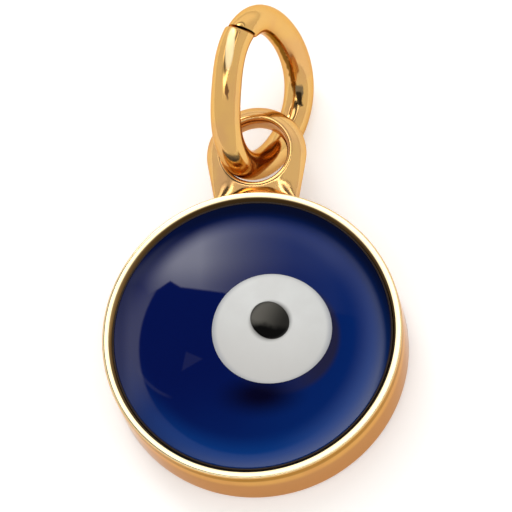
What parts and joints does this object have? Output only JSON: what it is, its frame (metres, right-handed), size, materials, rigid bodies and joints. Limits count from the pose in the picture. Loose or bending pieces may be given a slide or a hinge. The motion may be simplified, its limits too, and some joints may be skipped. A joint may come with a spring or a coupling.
{
  "type": "evil eye charm",
  "caption": "Round gold-plated charm: a shallow cup holds a domed blue glass eye with a white iris and black pupil, with a soldered eyelet and an open jump ring that swings in it.",
  "frame": {"origin": "centre of the cup's flat back face", "axes": "+Z out of the eye's face, square to the back; +Y from the cup's centre towards the eyelet and the jump ring; +X to the right when the eye is seen with the eyelet at the top"},
  "size_m": [0.012, 0.0196, 0.0063],
  "materials": {
    "gold_plate": "polished gold plating over brass",
    "plated_solder": "solder under the same gold plating, a little softer",
    "ring_wire": "polished gold-plated round wire",
    "cobalt_glass": "glossy, very dark cobalt blue",
    "white_glass": "glossy opaque off-white",
    "black_glass": "glossy black",
    "clear_glue": "set clear adhesive"
  },
  "bodies": {
    "pendant": {"bezel_cup": "gold_plate", "eyelet": "gold_plate", "solder_seam": "plated_solder", "blue_glass": "cobalt_glass", "white_iris": "white_glass", "black_pupil": "black_glass", "glue_bed": "clear_glue"},
    "jump_ring": {"jump_ring": "ring_wire"}
  },
  "joints": [
    {"name": "jump_ring_swing", "type": "hinge", "parent": "pendant", "child": "jump_ring", "pos_m": [0.00005, 0.00802, 0.0015], "axis": [0, 0, 1], "range_deg": [-80, 80]}
  ]
}
